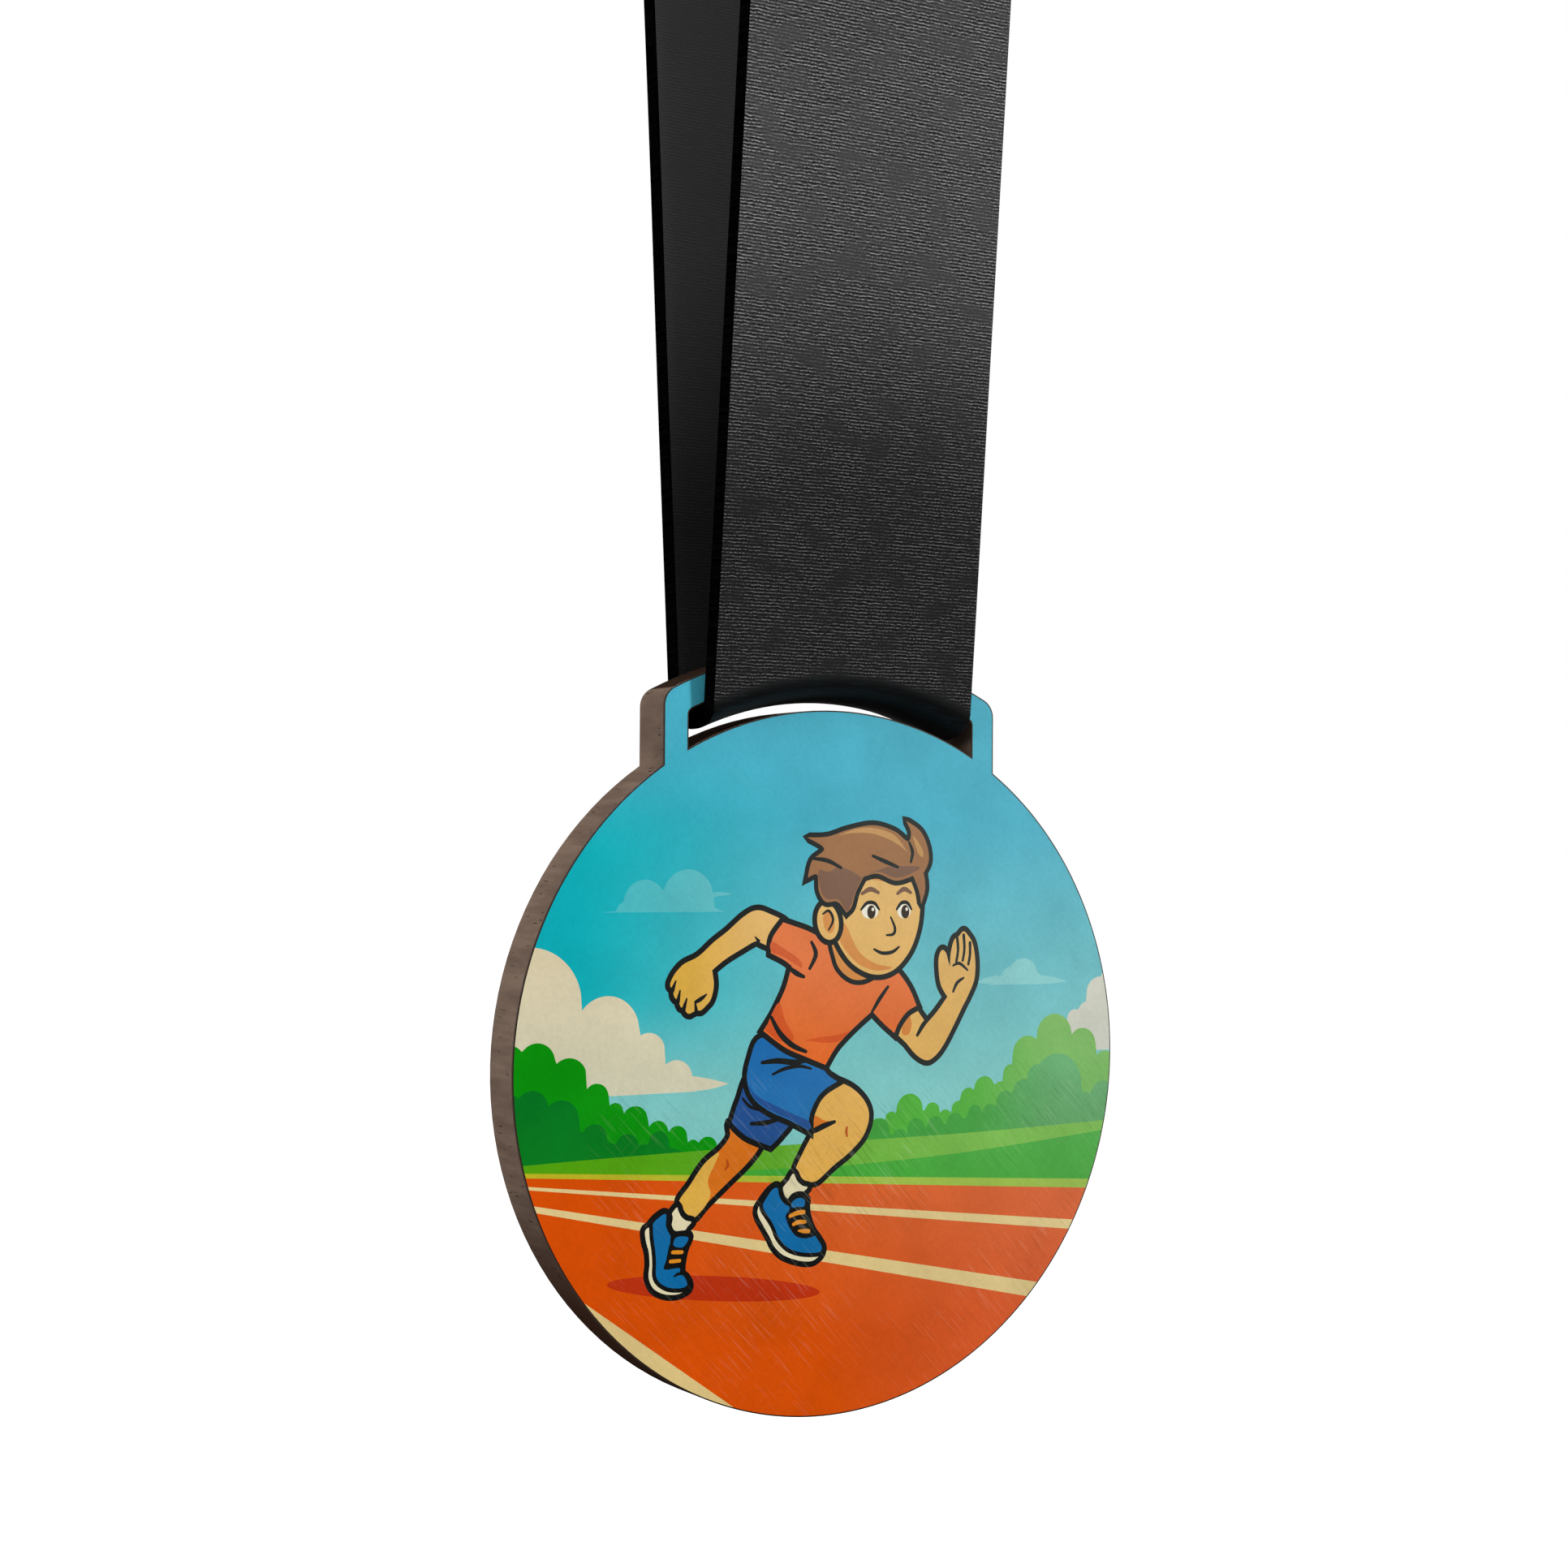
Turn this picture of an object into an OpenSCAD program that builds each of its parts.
// Round wooden finisher medal on a closed neck ribbon.
// Units are millimetres. The origin is the centre of the round support that the
// ribbon loop hangs over: X runs along that support, -Y is the printed front, +Z is up.

/* [Medal] */
// Diameter of the round disc
disc_d = 70; // [60:1:80]
// Thickness of the medal, with its printed face
medal_t = 5; // [4:0.5:6]
// Thickness of the printed facing film
print_t = 0.2; // [0.1:0.05:0.4]
// Width of the ribbon slot
slot_w = 33.4; // [32:0.2:36]
// Height of the slot, from the disc's rim to the bar
slot_h = 3.3; // [3:0.1:4]
// Width of the bar over the slot, and of its two posts
bar_w = 2.7; // [2.4:0.1:4]
// Radius of the yoke's two outer corners
yoke_corner_r = 2; // [1:0.1:2.2]
// Radius of the slot's two upper corners
slot_corner_r = 0.7; // [0.3:0.1:1]

/* [Ribbon] */
// Width of the ribbon
ribbon_w = 30.4; // [26:0.2:31]
// Thickness of the ribbon
ribbon_t = 2; // [1.2:0.1:2.2]
// Lean of each strand away from the vertical, in degrees
strand_lean = 5.2; // [4:0.1:6.5]
// Radius of the support that the loop hangs over
support_r = 33.5; // [30:0.5:60]
// Length of strand that bends when the medal swings
flex_l = 16; // [10:1:24]
// Slack of the fold under the bar
fold_slack = 0.45; // [0.2:0.05:0.6]

/* [Seam] */
// Distance of the seam below the support, along the rear strand
seam_drop = 130; // [60:5:180]
// Length of the overlap at the seam
lap_l = 20; // [16:1:30]
// Number of stitches in a row
stitch_count = 10; // [6:1:12]
// Length of one stitch
stitch_l = 2; // [1.2:0.1:2]
// Width of the thread
thread_w = 0.5; // [0.3:0.1:0.8]

/* [Hidden] */
$fn = 96;

gap = 0.05;                                // play between the ribbon and the wood
disc_r = disc_d / 2;
slot_top_r = disc_r + slot_h;              // the slot and the bar are arcs about the disc's centre
bar_top_r = slot_top_r + bar_w;
yoke_half_w = slot_w / 2 + bar_w;
yoke_foot = disc_r / 2;                    // the posts start well inside the disc
crease_drop = 0.3;                         // from the bar's underside to a strand's outer crease
fold_r = slot_top_r - crease_drop;         // where a strand turns under the bar

// Each strand is a flat slab in a frame tilted by strand_lean. Its length is
// measured down from the line where it leaves the support.
face_y = medal_t / 2 + gap;
edge_h = sqrt(pow(fold_r, 2) - pow(ribbon_w / 2, 2));
strand_l = (support_r * cos(strand_lean) - face_y) / sin(strand_lean);
disc_z = -support_r * sin(strand_lean) - strand_l * cos(strand_lean) - edge_h;
bar_clearance = 0.5;
flex_end = (-support_r * sin(strand_lean) - disc_z - bar_top_r - bar_clearance)
    / cos(strand_lean);
flex_start = flex_end - flex_l;
fold_reach = 8;                            // well into the disc's rim, which trims the fold
fold_end = strand_l + fold_reach;
wrap_angle = 180 + 2 * strand_lean;

stitch_row_inset = 3;
stitch_margin = 2;                         // from a row's ends to the ribbon's edges
stitch_h = 0.3;
stitch_pitch = (ribbon_w - 2 * stitch_margin) / stitch_count;

wood = "#5c4c42";
sky = "#46adc8";
cloth = "#2b2b2c";
thread = "#151516";

// An outline in the XZ plane, filled between two depths along Y
module plate(y_front, y_back) {
    translate([0, y_back, disc_z])
        rotate([90, 0, 0])
            linear_extrude(height = y_back - y_front)
                children();
}

// The arched region of half width w and top radius r, with its upper corners rounded
module arch(w, r, corner_r) {
    cx = w - corner_r;
    cz = sqrt(pow(r - corner_r, 2) - pow(cx, 2));
    reach = 2 * r / (r - corner_r);
    intersection() {
        circle(r = r);
        polygon([[0, 0], [cx, cz] * reach, [-cx, cz] * reach]);
    }
    for (side = [-1, 1])
        translate([side * cx, cz])
            circle(r = corner_r);
    translate([-w, yoke_foot])
        square([2 * w, cz - yoke_foot]);
}

// Disc, posts and bar, with the slot left open
module medal_outline() {
    circle(r = disc_r);
    difference() {
        arch(yoke_half_w, bar_top_r, yoke_corner_r);
        arch(slot_w / 2, slot_top_r, slot_corner_r);
    }
}

module medal_blank() {
    color(wood)
        plate(-medal_t / 2 + print_t, medal_t / 2)
            medal_outline();
}

module printed_face() {
    color(sky)
        plate(-medal_t / 2, -medal_t / 2 + print_t)
            medal_outline();
}

// Mirrors a rear piece to the front strand when side is -1
module on_side(side) {
    mirror([0, side < 0 ? 1 : 0, 0])
        children();
}

// A stretch of strand between two distances below the support, lift mm off its inner face
module strand(from, to, lift = 0, w = ribbon_w, t = ribbon_t) {
    rotate([-strand_lean, 0, 0])
        translate([-w / 2, support_r + lift, -to])
            cube([w, t, to - from]);
}

// A point of the rear strand's section, [depth, height], at a distance below the support
function on_strand(along, lift) = [
    (support_r + lift) * cos(strand_lean) - along * sin(strand_lean),
    -(support_r + lift) * sin(strand_lean) - along * cos(strand_lean)];

function mirrored(points) = [for (i = [len(points) - 1 : -1 : 0]) [-points[i].x, points[i].y]];

// Fills a rear half section and its mirror image, across a given width
module across(half_section, w) {
    translate([-w / 2, 0, 0])
        rotate([90, 0, 90])
            linear_extrude(height = w)
                polygon(concat(half_section, mirrored(half_section)));
}

// A cylinder about the disc's own axis
module about_disc(r) {
    translate([0, 0, disc_z])
        rotate([90, 0, 0])
            cylinder(r = r, h = medal_t * 4, center = true);
}

// The fold under the bar, with the two short cheeks that lie against its faces
module ribbon_bight() {
    color(cloth)
        difference() {
            across([on_strand(fold_end, ribbon_t), on_strand(flex_end, ribbon_t),
                on_strand(flex_end, 0)], ribbon_w);
            about_disc(slot_top_r - ribbon_t - fold_slack);
            difference() {
                across([[face_y, disc_z + disc_r / 2], [face_y, disc_z + edge_h],
                    on_strand(flex_end - ribbon_t, 0)], 2 * ribbon_w);
                about_disc(slot_top_r - gap);
            }
        }
}

module ribbon_front_flex() {
    color(cloth)
        on_side(-1)
            strand(flex_start, flex_end);
}

module ribbon_back_flex() {
    color(cloth)
        strand(flex_start, flex_end);
}

module ribbon_front_strand() {
    color(cloth)
        on_side(-1)
            strand(0, flex_start);
}

module ribbon_back_strand() {
    color(cloth)
        strand(0, flex_start);
}

// The half turn over the support
module ribbon_saddle() {
    color(cloth)
        rotate([90, 0, 90])
            rotate([0, 0, -strand_lean])
                rotate_extrude(angle = wrap_angle)
                    translate([support_r, -ribbon_w / 2])
                        square([ribbon_t, ribbon_w]);
}

// The ribbon's other end, laid over the rear strand
module ribbon_lap() {
    color(cloth)
        strand(seam_drop, seam_drop + lap_l, lift = ribbon_t);
}

// One row of stitches across the ribbon, lift mm off the strand's inner face
module stitch_row(drop, lift) {
    for (i = [0 : stitch_count - 1])
        translate([(i - (stitch_count - 1) / 2) * stitch_pitch, 0, 0])
            strand(drop, drop + thread_w, lift, w = stitch_l, t = stitch_h);
}

// Two rows through both layers, seen on the outer and the inner face
module lap_stitching() {
    color(thread)
        for (drop = [seam_drop + stitch_row_inset, seam_drop + lap_l - stitch_row_inset])
            for (lift = [2 * ribbon_t, -stitch_h])
                stitch_row(drop, lift);
}

medal_blank();
printed_face();
ribbon_bight();
ribbon_front_flex();
ribbon_back_flex();
ribbon_front_strand();
ribbon_back_strand();
ribbon_saddle();
ribbon_lap();
lap_stitching();
